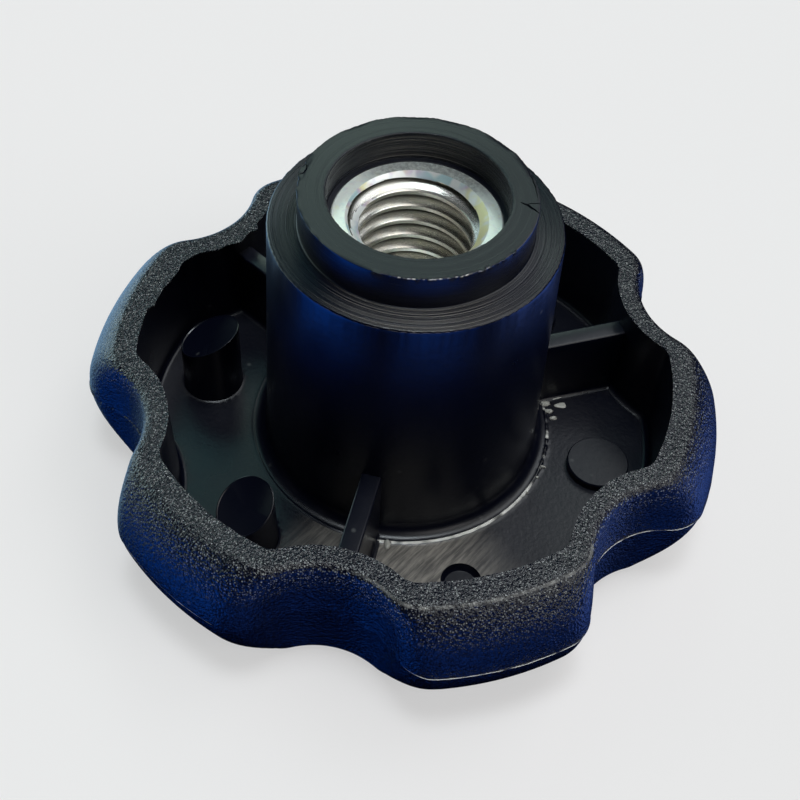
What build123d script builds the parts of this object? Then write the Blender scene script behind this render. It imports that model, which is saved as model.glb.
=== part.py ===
"""Six-lobed star knob: hollow moulded body, tall turned hub and a blind threaded steel bush.

Millimetres, +Z up. The knob lies on its flat cap face at z = 0 with the hub standing up and
the axis of the thread on Z. Lobe centres lie at 0, 60, 120 ... degrees and the scallops
between them at 30, 90, 150 ... degrees.
"""
import os
from math import asin, cos, radians, sin, tan

from build123d import *

# --- outside: lobes, crown and scallops ------------------------------------
LOBES = 6
KNOB_R = 31.4               # lobe crest at the parting line
CAP_SCALLOP_DEPTH = 0.5     # what is left of a scallop at the cap face, before its draft
RIM_INSET = 3.2             # how far it draws the crest in at the rim
PARTING_Z = 7.5             # height of the widest line, where the mould parts
RIM_Z = 14.2                # top of the skirt
SCALLOP_R = 8.0
SCALLOP_DEPTH = 5.5         # from the lobe crest to the deepest line of a scallop
SCALLOP_DRAFT = 2.5         # degrees, opening both ways from the parting line
LOBE_CORNER_R = 4.0
CAP_CHAMFER = 0.8
RIM_EDGE_R = 0.9

# --- hollow underside ------------------------------------------------------
WALL = 2.3                  # skirt thickness measured at the rim
WALL_DRAFT = 2.0
WEB_T = 3.9                 # cap web left under the hollow
HOLLOW_CORNER_R = 2.0
HOLLOW_FLOOR_FILLET = 0.6

# --- hub -------------------------------------------------------------------
HUB_TOP_R = 13.0
HUB_BASE_R = 13.7
HUB_FOOT_R = 1.3            # fillet at the foot of the hub
SHOULDER_Z = 31.2
RING_R = 10.35              # raised ring on the hub's end
RING_H = 3.35
COUNTERBORE_R = 7.95
COUNTERBORE_DEPTH = 2.8     # the bush face lies this far below the ring

# --- ribs ------------------------------------------------------------------
RIBS = 3
RIB_START_ANGLE = 30
RIB_TOP_Z = 11.9
RIB_T = 1.9                 # thickness along the top edge
RIB_DRAFT = 1.0

# --- round marks and posts on the hollow's floor ---------------------------
MARK_INSET = 10.9           # from the lobe crest to the centre of a mark
MARK_R = 3.1
PAD_H = 0.8
PAD_ANGLES = (0, 60, 120)
DIMPLE_R = 1.85
DIMPLE_DEPTH = 0.7
DIMPLE_ANGLES = (300,)
POST_R = 3.0                # at the foot
POST_DRAFT = 2.5
POST_TOP_SLOPE = 28         # degrees, the top of a post falling towards the skirt
POSTS = ((180, 10.6), (240, 9.0))  # angle, and height of the top on the post's own axis

# --- threaded bush ---------------------------------------------------------
BUSH_R = 7.5
WAIST_R = 6.9               # retaining waist round the outside
WAIST_FROM = 7.0            # distances below the bush face
WAIST_TO = 15.0
WAIST_FLANK = 0.6
THREAD_MINOR_R = 5.053      # M12 x 1.75
THREAD_DEPTH = 17.0
COUNTERSINK_R = 6.25
DRILL_HALF_ANGLE = 59
BUSH_FLOOR_T = 2.0          # steel left under the drill point

CAP_INSET = SCALLOP_DEPTH - CAP_SCALLOP_DEPTH  # how far the crown draws the crest in there
CAP_FLAT_R = KNOB_R - CAP_INSET
RIM_R = KNOB_R - RIM_INSET
SCALLOP_FLOOR_R = KNOB_R - SCALLOP_DEPTH
SCALLOP_CENTRE_R = SCALLOP_FLOOR_R + SCALLOP_R
MARK_RADIAL = KNOB_R - MARK_INSET
RING_TOP_Z = SHOULDER_Z + RING_H
BUSH_FACE_Z = RING_TOP_Z - COUNTERBORE_DEPTH
THREAD_END_Z = BUSH_FACE_Z - THREAD_DEPTH
DRILL_TIP_Z = THREAD_END_Z - THREAD_MINOR_R / tan(radians(DRILL_HALF_ANGLE))
BUSH_FOOT_Z = DRILL_TIP_Z - BUSH_FLOOR_T
OVERLAP = 1.0               # how far added features reach into the material they join
SECTIONS_BELOW = 6          # lofted sections that form the crown, below and above the parting line
SECTIONS_ABOVE = 4


def polar(radius, angle):
    """Point in the XY plane at a radius and an angle in degrees."""
    return (radius * cos(radians(angle)), radius * sin(radians(angle)))


def crown(run, rise, steps):
    """Points (rise, inset) along an arc that leaves the parting line upright."""
    arc_r = (run**2 + rise**2) / (2 * run)
    turns = [asin(rise / arc_r) * step / steps for step in range(1, steps + 1)]
    return [(arc_r * sin(turn), arc_r * (1 - cos(turn))) for turn in turns]


def scallop_r(z):
    """Scallop radius at height z, opening with the draft both ways."""
    return SCALLOP_R + abs(z - PARTING_Z) * tan(radians(SCALLOP_DRAFT))


# lobe crests as (z, radius), from the cap face up to the rim
LOWER_CREST = crown(CAP_INSET, PARTING_Z, SECTIONS_BELOW)
UPPER_CREST = crown(RIM_INSET, RIM_Z - PARTING_Z, SECTIONS_ABOVE)
CREST = [
    *[(PARTING_Z - rise, KNOB_R - inset) for rise, inset in reversed(LOWER_CREST)],
    (PARTING_Z, KNOB_R),
    *[(PARTING_Z + rise, KNOB_R - inset) for rise, inset in UPPER_CREST],
]

# outside of the bush as (radius, z), from its foot up to the rim of its face
BUSH_OUTLINE = [
    (0, BUSH_FOOT_Z),
    (BUSH_R, BUSH_FOOT_Z),
    (BUSH_R, BUSH_FACE_Z - WAIST_TO),
    (WAIST_R, BUSH_FACE_Z - WAIST_TO + WAIST_FLANK),
    (WAIST_R, BUSH_FACE_Z - WAIST_FROM - WAIST_FLANK),
    (BUSH_R, BUSH_FACE_Z - WAIST_FROM),
    (BUSH_R, BUSH_FACE_Z),
]

# === posts, moulded in one with the body ====================================
posts = []
for angle, top_z in POSTS:
    spread = OVERLAP * tan(radians(POST_DRAFT))
    high_side = POST_R * tan(radians(POST_TOP_SLOPE))
    slope = Vector(*polar(sin(radians(POST_TOP_SLOPE)), angle), cos(radians(POST_TOP_SLOPE)))
    with BuildPart() as post:
        with BuildSketch(Plane.XY.offset(WEB_T - OVERLAP)):
            with Locations(polar(MARK_RADIAL, angle)):
                Circle(POST_R + spread)
        extrude(amount=top_z + high_side - WEB_T + OVERLAP, taper=POST_DRAFT)
        split(bisect_by=Plane((*polar(MARK_RADIAL, angle), top_z), z_dir=slope), keep=Keep.BOTTOM)
    posts.append(post.part)

# === knob body =============================================================
with BuildPart() as knob_body:
    # outside: one rounded six-lobed section above another, crowned and drafted
    for z, crest_r in CREST:
        with BuildSketch(Plane.XY.offset(z)) as section:
            Circle(crest_r)
            with PolarLocations(SCALLOP_CENTRE_R, LOBES, start_angle=180 / LOBES):
                Circle(scallop_r(z), mode=Mode.SUBTRACT)
            fillet(section.vertices(), radius=LOBE_CORNER_R)
    loft()
    chamfer(knob_body.faces().sort_by(Axis.Z)[0].edges(), length=CAP_CHAMFER)
    fillet(knob_body.faces().sort_by(Axis.Z)[-1].edges(), radius=RIM_EDGE_R)

    # hollow under the rim, following the lobes
    with BuildSketch(Plane.XY.offset(RIM_Z)) as hollow:
        Circle(RIM_R - WALL)
        with PolarLocations(SCALLOP_CENTRE_R, LOBES, start_angle=180 / LOBES):
            Circle(scallop_r(RIM_Z) + WALL, mode=Mode.SUBTRACT)
        fillet(hollow.vertices(), radius=HOLLOW_CORNER_R)
    extrude(amount=WEB_T - RIM_Z, taper=WALL_DRAFT, mode=Mode.SUBTRACT)
    hollow_floor = knob_body.faces().filter_by(GeomType.PLANE).sort_by(Axis.Z)[1]
    fillet(hollow_floor.edges(), radius=HOLLOW_FLOOR_FILLET)

    # hub with its foot fillet, shoulder, ring and counterbore, hollow where the bush sits
    with BuildSketch(Plane.XZ):
        with BuildLine():
            foot = Polyline(
                (0, WEB_T - OVERLAP),
                (HUB_BASE_R + HUB_FOOT_R, WEB_T - OVERLAP),
                (HUB_BASE_R + HUB_FOOT_R, WEB_T),
            )
            RadiusArc(foot @ 1, (HUB_BASE_R, WEB_T + HUB_FOOT_R), HUB_FOOT_R)
            Polyline(
                (HUB_BASE_R, WEB_T + HUB_FOOT_R),
                (HUB_TOP_R, SHOULDER_Z),
                (RING_R, SHOULDER_Z),
                (RING_R, RING_TOP_Z),
                (COUNTERBORE_R, RING_TOP_Z),
                (COUNTERBORE_R, BUSH_FACE_Z),
                *reversed(BUSH_OUTLINE),
                (0, WEB_T - OVERLAP),
            )
        make_face()
    revolve(axis=Axis.Z)

    # ribs from the hub to the skirt, in every other scallop
    for rib in range(RIBS):
        angle = RIB_START_ANGLE + rib * 360 / RIBS
        outward = Vector(*polar(1, angle), 0)
        across = outward.rotate(Axis.Z, 90)
        spread = (RIB_TOP_Z - WEB_T + OVERLAP) * tan(radians(RIB_DRAFT))
        rib_plane = Plane(outward * (HUB_TOP_R - OVERLAP), x_dir=across, z_dir=outward)
        with BuildSketch(rib_plane):
            Polygon(
                (-RIB_T / 2 - spread, WEB_T - OVERLAP),
                (RIB_T / 2 + spread, WEB_T - OVERLAP),
                (RIB_T / 2, RIB_TOP_Z),
                (-RIB_T / 2, RIB_TOP_Z),
                align=None,
            )
        extrude(amount=SCALLOP_FLOOR_R - WALL + OVERLAP - HUB_TOP_R + OVERLAP)

    # low round pads and one sunk mark, each centred in a lobe, as the posts are
    with BuildSketch(Plane.XY.offset(WEB_T)):
        with Locations(*[polar(MARK_RADIAL, a) for a in PAD_ANGLES]):
            Circle(MARK_R)
    extrude(amount=PAD_H)
    with BuildSketch(Plane.XY.offset(WEB_T)):
        with Locations(*[polar(MARK_RADIAL, a) for a in DIMPLE_ANGLES]):
            Circle(DIMPLE_R)
    extrude(amount=-DIMPLE_DEPTH, mode=Mode.SUBTRACT)
    add(posts)

# === threaded bush =========================================================
with BuildPart() as threaded_insert:
    with BuildSketch(Plane.XZ):
        with BuildLine():
            Polyline(
                *BUSH_OUTLINE,
                (COUNTERSINK_R, BUSH_FACE_Z),
                (THREAD_MINOR_R, BUSH_FACE_Z - COUNTERSINK_R + THREAD_MINOR_R),
                (THREAD_MINOR_R, THREAD_END_Z),
                (0, DRILL_TIP_Z),
                (0, BUSH_FOOT_Z),
            )
        make_face()
    revolve(axis=Axis.Z)

# === export ================================================================
os.makedirs("parts", exist_ok=True)
knob_body.part.label = "knob_body"
threaded_insert.part.label = "threaded_insert"
export_step(knob_body.part, "parts/knob_body.step")
export_step(threaded_insert.part, "parts/threaded_insert.step")
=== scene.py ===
"""Six-lobed star knob lying on its cap: black moulding with worn, flashed edges and a zinc-plated
threaded bush. Metres, +Z up, the thread axis on Z."""
import math

import bmesh
import bpy
import numpy as np
from mathutils import Matrix, Vector


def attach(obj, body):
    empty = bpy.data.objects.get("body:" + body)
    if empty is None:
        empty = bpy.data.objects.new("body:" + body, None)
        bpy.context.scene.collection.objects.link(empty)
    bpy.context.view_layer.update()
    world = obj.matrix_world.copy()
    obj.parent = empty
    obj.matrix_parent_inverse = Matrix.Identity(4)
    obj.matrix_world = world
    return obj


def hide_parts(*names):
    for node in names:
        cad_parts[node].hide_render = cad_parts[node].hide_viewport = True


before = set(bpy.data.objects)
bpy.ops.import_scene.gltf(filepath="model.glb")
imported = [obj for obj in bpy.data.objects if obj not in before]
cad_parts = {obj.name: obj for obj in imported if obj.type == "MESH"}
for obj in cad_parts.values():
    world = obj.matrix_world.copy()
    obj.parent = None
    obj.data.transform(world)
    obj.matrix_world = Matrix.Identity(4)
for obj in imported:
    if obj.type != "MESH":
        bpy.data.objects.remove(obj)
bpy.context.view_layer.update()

MM = 0.001
TAU = 2 * math.pi

# sizes in millimetres, the same as the part's solids, and angles in radians
KNOB_R, CAP_INSET, RIM_INSET = 31.4, 5.0, 3.2
PARTING_Z, RIM_Z = 7.5, 14.2
LOBES, SCALLOP_R, SCALLOP_DEPTH, SCALLOP_DRAFT = 6, 8.0, 5.5, math.radians(2.5)
CORNER_R, CAP_CHAMFER, RIM_EDGE = 4.0, 0.8, 0.9
WALL, WALL_DRAFT, WEB, HOLLOW_CORNER, HOLLOW_FILLET = 2.3, math.radians(2.0), 3.9, 2.0, 0.6
HUB_TOP_R, HUB_BASE_R, HUB_FOOT = 13.0, 13.7, 1.3
SHOULDER_Z, RING_R, RING_H = 31.2, 10.35, 3.35
BORE_R, BORE_DEPTH = 7.95, 2.8
BUSH_R, WAIST_R, WAIST_FROM, WAIST_TO, WAIST_FLANK = 7.5, 6.9, 7.0, 15.0, 0.6
MINOR_R, MAJOR_R, PITCH, THREAD_DEPTH, COUNTERSINK_R = 5.053, 6.0, 1.75, 17.0, 6.25
BUSH_FLOOR, DRILL_HALF_ANGLE = 2.0, math.radians(59)
RIBS, RIB_START_ANGLE = 3, math.radians(30)
RIB_TOP_Z, RIB_T, RIB_DRAFT = 11.9, 1.9, math.radians(1.0)
MARK_RADIAL, MARK_R, PAD_H, DIMPLE_R, DIMPLE = 20.5, 3.1, 0.8, 1.85, 0.7
POST_R, POST_SLOPE = 3.0, math.tan(math.radians(28))

RING_TOP_Z = SHOULDER_Z + RING_H
FACE_Z = RING_TOP_Z - BORE_DEPTH
THREAD_END_Z = FACE_Z - THREAD_DEPTH
DRILL_TIP_Z = THREAD_END_Z - MINOR_R / math.tan(DRILL_HALF_ANGLE)
FOOT_Z = DRILL_TIP_Z - BUSH_FLOOR
SCALLOP_CENTRE_R = KNOB_R - SCALLOP_DEPTH + SCALLOP_R
# columns of the lathed skins round the axis
COLUMNS, BUSH_COLUMNS = 504, 144
# half the height of the flash line, and the room kept clear of other rows above and below it
FLASH_HALF, FLASH_ROOM = 0.11, 0.35
# edges sharper than this many degrees are shaded sharp
SHARP_ANGLE = 32


# === node trees written as arithmetic ======================================
class Term:
    """A number travelling through a node tree, on which plain arithmetic builds math nodes."""

    def __init__(self, tree, socket):
        self.tree, self.socket = tree, socket

    def op(self, name, *others):
        """The result of a math node on this and the others."""
        node = self.tree.nodes.new("ShaderNodeMath")
        node.operation = name
        for socket, value in zip(node.inputs, (self, *others)):
            if isinstance(value, Term):
                self.tree.links.new(value.socket, socket)
            else:
                socket.default_value = value
        return Term(self.tree, node.outputs[0])

    def __add__(self, other):
        return self.op("ADD", other)

    def __sub__(self, other):
        return self.op("SUBTRACT", other)

    def __mul__(self, other):
        return self.op("MULTIPLY", other)

    def __truediv__(self, other):
        return self.op("DIVIDE", other)

    def root(self):
        """The square root, or 0 of a negative number."""
        return self.op("MAXIMUM", 0.0).op("SQRT")

    def eased(self, low, high):
        """0 below low, 1 above high and smooth between."""
        node = self.tree.nodes.new("ShaderNodeMapRange")
        node.interpolation_type = "SMOOTHSTEP"
        self.tree.links.new(self.socket, node.inputs["Value"])
        node.inputs["From Min"].default_value, node.inputs["From Max"].default_value = low, high
        return Term(self.tree, node.outputs["Result"])

    def pick(self, when_true, when_false):
        """when_true where this is 1, when_false where it is 0."""
        return (when_true - when_false) * self + when_false


def tree_with(name, kind, inputs, outputs):
    """A node tree, its inputs as terms and its output node. Each input and output is given by name,
    as a default number or as the word for its kind of socket."""
    tree = bpy.data.node_groups.new(name, kind)
    for in_out, sockets in (("INPUT", inputs), ("OUTPUT", outputs)):
        for label, given in sockets.items():
            word = given if isinstance(given, str) else type(given).__name__.capitalize()
            socket = tree.interface.new_socket(label, in_out=in_out, socket_type="NodeSocket" + word)
            if word != given:
                socket.default_value = given
    source, result = tree.nodes.new("NodeGroupInput"), tree.nodes.new("NodeGroupOutput")
    return tree, {label: Term(tree, source.outputs[label]) for label in inputs}, result


def add(tree, kind, links=None, **settings):
    """A node with its settings made and its inputs linked or set."""
    node = tree.nodes.new(kind)
    for key, value in settings.items():
        setattr(node, key, value)
    for key, value in (links or {}).items():
        if isinstance(value, Term):
            value = value.socket
        if isinstance(value, bpy.types.NodeSocket):
            tree.links.new(value, node.inputs[key])
        else:
            node.inputs[key].default_value = value
    return node


# === objects and points ====================================================
def in_scene(name, data):
    """An object in the scene that shows a mesh or other data."""
    thing = bpy.data.objects.new(name, data)
    bpy.context.scene.collection.objects.link(thing)
    return thing


def evaluated(thing, name):
    """The plain mesh that an object's modifiers make."""
    bpy.context.view_layer.update()
    made = bpy.data.meshes.new_from_object(thing.evaluated_get(bpy.context.evaluated_depsgraph_get()))
    made.name = name
    return made


def polar(radius, degrees, z=0.0):
    """The point at a radius and an angle round the axis, and at a height."""
    turn = math.radians(degrees)
    return np.array((radius * math.cos(turn), radius * math.sin(turn), z))


def between(first, last, share):
    """The numbers a share of the way from one row of numbers to another."""
    return [a + (b - a) * share for a, b in zip(first, last)]


# === geometry trees ========================================================
def grid_to_bend(tree, columns, rows):
    """A flat grid, with the column and the row that each of its vertices lies at."""
    grid = add(tree, "GeometryNodeMeshGrid", {"Vertices X": columns + 1.0, "Vertices Y": rows})
    index = Term(tree, add(tree, "GeometryNodeInputIndex").outputs[0])
    column = (index / rows + 0.0001).op("FLOOR")
    return grid.outputs["Mesh"], column, index - column * rows


def bent(tree, grid, radius, turn, height):
    """The grid with its vertices moved to a radius, an angle and a height."""
    place = add(
        tree,
        "ShaderNodeCombineXYZ",
        {"X": radius * turn.op("COSINE"), "Y": radius * turn.op("SINE"), "Z": height},
    )
    return add(tree, "GeometryNodeSetPosition", {"Geometry": grid, "Position": place.outputs[0]}).outputs[0]


def stored(tree, geometry, name, value):
    """The geometry with a number kept at each of its vertices."""
    values = {"Geometry": geometry, "Name": name, "Value": value}
    return add(tree, "GeometryNodeStoreNamedAttribute", values).outputs[0]


def finish(tree, geometry, given, result):
    """Ends a geometry tree: real geometry, with its material set."""
    real = add(tree, "GeometryNodeRealizeInstances", {"Geometry": geometry}).outputs[0]
    dressed = add(tree, "GeometryNodeSetMaterial", {"Geometry": real, "Material": given["Finish"]})
    tree.links.new(dressed.outputs[0], result.inputs[0])


def finish_welded(tree, geometry, distance, given, result):
    """Ends a geometry tree whose vertices are first made one where they are nearer than a distance."""
    weld = add(tree, "GeometryNodeMergeByDistance", {"Geometry": geometry, "Distance": distance})
    finish(tree, weld.outputs[0], given, result)


def lathed_lobes_tree():
    """Turns an outline into a closed skin; where the outline is lobed, its radius follows the lobes."""
    tree, given, result = tree_with(
        "lathed_lobes",
        "GeometryNodeTree",
        {
            "Outline": "Geometry",
            "Columns": COLUMNS,
            "Lobes": float(LOBES),
            "Scallop centre": SCALLOP_CENTRE_R * MM,
            "Finish": "Material",
        },
        {"Skin": "Geometry"},
    )
    outline, columns, centre = given["Outline"], given["Columns"], given["Scallop centre"]
    count = add(tree, "GeometryNodeAttributeDomainSize", {"Geometry": outline})
    grid, column, row = grid_to_bend(tree, columns, Term(tree, count.outputs["Point Count"]))

    def along(attribute):
        """The outline's own value at this row."""
        value = add(tree, "GeometryNodeInputNamedAttribute", {"Name": attribute}).outputs["Attribute"]
        wanted = {"Geometry": outline, "Value": value, "Index": row}
        return Term(tree, add(tree, "GeometryNodeSampleIndex", wanted).outputs[0])

    radius, height, lobing, scallop, corner = (along(name) for name in STATION_VALUES)
    turn = column / columns * TAU
    sector = given["Lobes"].op("POWER", -1.0) * TAU
    # angle from the middle of the nearest scallop, which lies half a sector from a lobe
    off = ((turn / sector).op("FRACT") - 0.5).op("ABSOLUTE") * sector
    # the corner's own centre lies at the radius of rounding, and aside from the scallop's middle
    rounding = radius - corner
    reach = scallop + corner
    cosine = (rounding * rounding + centre * centre - reach * reach) / (rounding * centre * 2.0)
    aside = cosine.op("ARCCOSINE")
    touch_x = centre + (rounding * aside.op("COSINE") - centre) * scallop / reach
    touch_y = rounding * aside.op("SINE") * scallop / reach
    touch = touch_y.op("ARCTAN2", touch_x)
    across = centre * off.op("SINE")
    in_scallop = centre * off.op("COSINE") - (scallop * scallop - across * across).root()
    turned = off - aside
    past = rounding * turned.op("SINE")
    on_corner = rounding * turned.op("COSINE") + (corner * corner - past * past).root()
    near_scallop = off.op("LESS_THAN", touch).pick(in_scallop, on_corner)
    lobed = off.op("GREATER_THAN", aside).pick(radius, near_scallop)
    skin = bent(tree, grid, radius + (lobed - radius) * lobing, turn, height)
    finish_welded(tree, stored(tree, skin, "station", row), 0.0005 * MM, given, result)
    return tree


def helical_bore_tree():
    """The wall of a threaded hole, drawn along the helix, with its countersink cut over it."""
    tree, given, result = tree_with(
        "helical_bore",
        "GeometryNodeTree",
        {
            "Outline": "Geometry",
            "Columns": BUSH_COLUMNS,
            "Rows per pitch": 20.0,
            "Turns": 10.0,
            "Pitch": PITCH * MM,
            "Minor radius": MINOR_R * MM,
            "Major radius": MAJOR_R * MM,
            "Bottom": THREAD_END_Z * MM,
            "Face": FACE_Z * MM,
            "Countersink radius": COUNTERSINK_R * MM,
            "Finish": "Material",
        },
        {"Wall": "Geometry"},
    )
    columns, density, pitch = given["Columns"], given["Rows per pitch"], given["Pitch"]
    bottom, face, minor = given["Bottom"], given["Face"], given["Minor radius"]
    rows = (density * (given["Turns"] + 1.0) + 1.0).op("ROUND")
    grid, column, row = grid_to_bend(tree, columns, rows)
    share = column / columns
    helix_z = bottom + (row / density - 1.0 + share) * pitch
    z = helix_z.op("MAXIMUM", bottom).op("MINIMUM", face)
    # flat crest, straight flank, narrow root: the share of the pitch that each takes
    phase = ((z - bottom) / pitch - share + 8.0).op("FRACT")
    from_crest = (phase - 0.5).op("ABSOLUTE") * 2.0
    depth = ((from_crest - 0.25) / 0.625).op("MAXIMUM", 0.0).op("MINIMUM", 1.0)
    run_out = ((z - bottom) / (pitch * 1.5)).op("MINIMUM", 1.0)
    threaded = minor + (given["Major radius"] - minor) * depth * run_out
    cone = given["Countersink radius"] - (face - z)
    wall = bent(tree, grid, threaded.op("MAXIMUM", cone), share * TAU, z)
    in_groove = depth * run_out * threaded.op("GREATER_THAN", cone)
    joined = add(tree, "GeometryNodeJoinGeometry")
    tree.links.new(stored(tree, wall, "groove", in_groove), joined.inputs[0])
    tree.links.new(given["Outline"].socket, joined.inputs[0])
    finish_welded(tree, joined.outputs[0], 0.004 * MM, given, result)
    return tree


def copies_round_axis_tree():
    """Sets copies of a shape round the thread axis."""
    tree, given, result = tree_with(
        "copies_round_axis",
        "GeometryNodeTree",
        {
            "Shape": "Geometry",
            "Count": RIBS,
            "First angle": RIB_START_ANGLE,
            "Step angle": TAU / RIBS,
            "Finish": "Material",
        },
        {"Copies": "Geometry"},
    )
    line = {"Count": given["Count"], "Offset": (0.0, 0.0, 0.0)}
    points = add(tree, "GeometryNodeMeshLine", line).outputs[0]
    index = Term(tree, add(tree, "GeometryNodeInputIndex").outputs[0])
    angle = given["First angle"] + index * given["Step angle"]
    turned = add(tree, "ShaderNodeCombineXYZ", {"Z": angle}).outputs[0]
    copies = {"Points": points, "Instance": given["Shape"], "Rotation": turned}
    placed = add(tree, "GeometryNodeInstanceOnPoints", copies)
    finish(tree, placed.outputs[0], given, result)
    return tree


def grown(name, mesh, tree, **values):
    """The plain mesh that a geometry tree makes of a mesh, with the tree's named inputs set."""
    holder = in_scene(name, mesh)
    modifier = holder.modifiers.new("grow", "NODES")
    modifier.node_group = tree
    for item in tree.interface.items_tree:
        if item.in_out == "INPUT" and item.name in values:
            modifier[item.identifier] = values[item.name]
    made = evaluated(holder, name)
    bpy.data.objects.remove(holder)
    return made


# === outlines ==============================================================
# what each station of an outline says, in metres but for lobing
STATION_VALUES = ("radius", "height", "lobing", "scallop", "corner")
# how far back from the crest the stations of the cap's edge lie
CAP_EDGE = (3.2, 2.0, 1.2, 0.9, CAP_CHAMFER, 0.74, 0.5, 0.3)
# the witness ring's stations, beyond the foot of the hub
WITNESS = (0.36, 0.22, 0.14, 0.08, 0.02, -0.05)
# stations round the edges of the raised ring and its bore: inset and drop
RING_EDGE = ((0.0, 0.16), (0.01, 0.07), (0.04, 0.015), (0.1, 0.0))
BORE_EDGE = ((0.09, 0.0), (0.04, 0.02), (0.0, 0.08))
# the seat of the bush under its face: radius and drop
SEAT = (
    (BUSH_R, 0.05),
    (BUSH_R, WAIST_FROM),
    (WAIST_R, WAIST_FROM + WAIST_FLANK),
    (WAIST_R, WAIST_TO - WAIST_FLANK),
    (BUSH_R, WAIST_TO),
    (BUSH_R, FACE_Z - FOOT_Z),
    (BUSH_R / 2, FACE_Z - FOOT_Z),
    (0, FACE_Z - FOOT_Z),
)
# radii of the shoulder's edge and of the corner at the ring's foot
HUB_EDGE, RING_FOOT = 0.16, 0.12


class Outline:
    """Stations of a lathed skin, with names for the rows that wear is put on."""

    def __init__(self):
        self.stations, self.rows = [], {}

    def to(self, radius, height, row=None, lobing=0.0, scallop=SCALLOP_R, corner=CORNER_R):
        """One station, in millimetres: round, unless lobing is 1."""
        self.stations.append((radius, height, lobing, scallop, corner))
        if row:
            self.rows.setdefault(row, []).append(len(self.stations) - 1)

    def lobed(self, section, row=None):
        """A lobed station from a section (crest, height, scallop, corner)."""
        crest, height, scallop, corner = section
        self.to(crest, height, row, 1.0, scallop, corner)

    def line(self, start, end, count, row=None):
        """Round stations evenly from start to end, both included."""
        for share in np.linspace(0, 1, count):
            self.to(*between(start, end, share), row)

    def lobed_line(self, start, end, count, row=None):
        """Lobed stations evenly from one section to another."""
        for share in np.linspace(0, 1, count):
            self.lobed(between(start, end, share), row)

    def arc(self, centre, radius, start, end, count, row=None):
        """Round stations along an arc in the outline's own plane, angles in degrees."""
        for angle in np.radians(np.linspace(start, end, count)):
            self.to(centre[0] + radius * math.cos(angle), centre[1] + radius * math.sin(angle), row)

    def rounding(self, section_at, end_z, reach, count, row=None):
        """Lobed stations round an edge that ends at a height, coming up to it (or down, if negative)."""
        for turn in np.linspace(0, math.pi / 2, count):
            drawn = abs(reach) * (1 - math.cos(turn))
            self.lobed(section_at(end_z - reach * (1 - math.sin(turn)), drawn), row)

    def mesh(self, name):
        """The stations as points whose attributes carry what each of them says."""
        mesh = bpy.data.meshes.new(name)
        mesh.from_pydata([(0, 0, 0)] * len(self.stations), [], [])
        for column, key in enumerate(STATION_VALUES):
            scale = 1.0 if key == "lobing" else MM
            values = [station[column] * scale for station in self.stations]
            mesh.attributes.new(key, "FLOAT", "POINT").data.foreach_set("value", values)
        return mesh


def crown_inset(run, rise, off_parting):
    """How far the crown has drawn in at this height above or below the parting line."""
    arc_r = (run**2 + rise**2) / (2 * run)
    return arc_r - math.sqrt(arc_r**2 - off_parting**2)


def outside_section(z, drawn=0.0):
    """Crest, height, scallop and corner of the outside at a height, drawn in by an edge rounding."""
    if z < PARTING_Z:
        inset = crown_inset(CAP_INSET, PARTING_Z, PARTING_Z - z)
    else:
        inset = crown_inset(RIM_INSET, RIM_Z - PARTING_Z, z - PARTING_Z)
    scallop = SCALLOP_R + abs(z - PARTING_Z) * math.tan(SCALLOP_DRAFT) + drawn
    return KNOB_R - inset - 0.3 * drawn, z, scallop, CORNER_R - drawn


def hollow_section(z, drawn=0.0):
    """Crest, height, scallop and corner of the hollow's wall at a height."""
    lean = (RIM_Z - z) * math.tan(WALL_DRAFT) + drawn
    crest = KNOB_R - RIM_INSET - WALL - lean
    scallop = SCALLOP_R + (RIM_Z - PARTING_Z) * math.tan(SCALLOP_DRAFT) + WALL + lean
    return crest, z, scallop, max(HOLLOW_CORNER - drawn, 0.4)


def moulding_outline():
    """The knob body from the middle of its cap, over the rim and hub, to the seat of the bush."""
    o = Outline()
    outline_skirt(o)
    outline_hollow(o)
    outline_hub(o)
    for radius, drop in SEAT:
        o.to(radius, FACE_Z - drop, "seat")
    return o


def outline_skirt(o):
    """From the middle of the cap up to the rim's outer edge."""
    o.line((0, 0), (20, 0), 5)
    crest, _, scallop, corner = outside_section(0)
    for back in CAP_EDGE:
        cut = min(back, CAP_CHAMFER)
        z = CAP_CHAMFER - cut
        o.lobed((crest - max(back - 1.6 * z, 0.0), z, scallop + cut, corner - 0.5 * cut))
    for z in np.linspace(CAP_CHAMFER, PARTING_Z - FLASH_ROOM, 14):
        o.lobed(outside_section(z), "skirt")
    for offset in np.linspace(-FLASH_HALF, FLASH_HALF, 7):
        o.lobed(outside_section(PARTING_Z + offset), "parting")
    for z in np.linspace(PARTING_Z + FLASH_ROOM, RIM_Z - RIM_EDGE - 0.3, 11):
        o.lobed(outside_section(z), "skirt")
    o.rounding(outside_section, RIM_Z, RIM_EDGE, 8, "rim_edge")


def outline_hollow(o):
    """Over the rim, down the wall of the hollow and in over its floor."""
    outer, inner = outside_section(RIM_Z, RIM_EDGE), hollow_section(RIM_Z)
    near = between(outer, inner, 0.86)
    o.lobed_line(between(outer, inner, 0.15), near, 6, "rim")
    o.lobed_line(near, inner, 5, "rim_lip")
    o.lobed_line(hollow_section(RIM_Z - 0.12), hollow_section(RIM_Z - 0.3), 2, "under_lip")
    o.lobed_line(hollow_section(RIM_Z - 1.0), hollow_section(WEB + HOLLOW_FILLET + 0.2), 8, "wall")
    o.rounding(hollow_section, WEB, -HOLLOW_FILLET, 6, "wall")
    crest, z, scallop, corner = hollow_section(WEB, HOLLOW_FILLET)
    for share in (0.3, 0.6, 0.9, 1.0):
        o.lobed((crest - 2.2 * share, z, scallop, corner), "floor")
    o.line((crest - 3.2, WEB), (HUB_BASE_R + HUB_FOOT + 0.7, WEB), 12, "floor")


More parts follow.
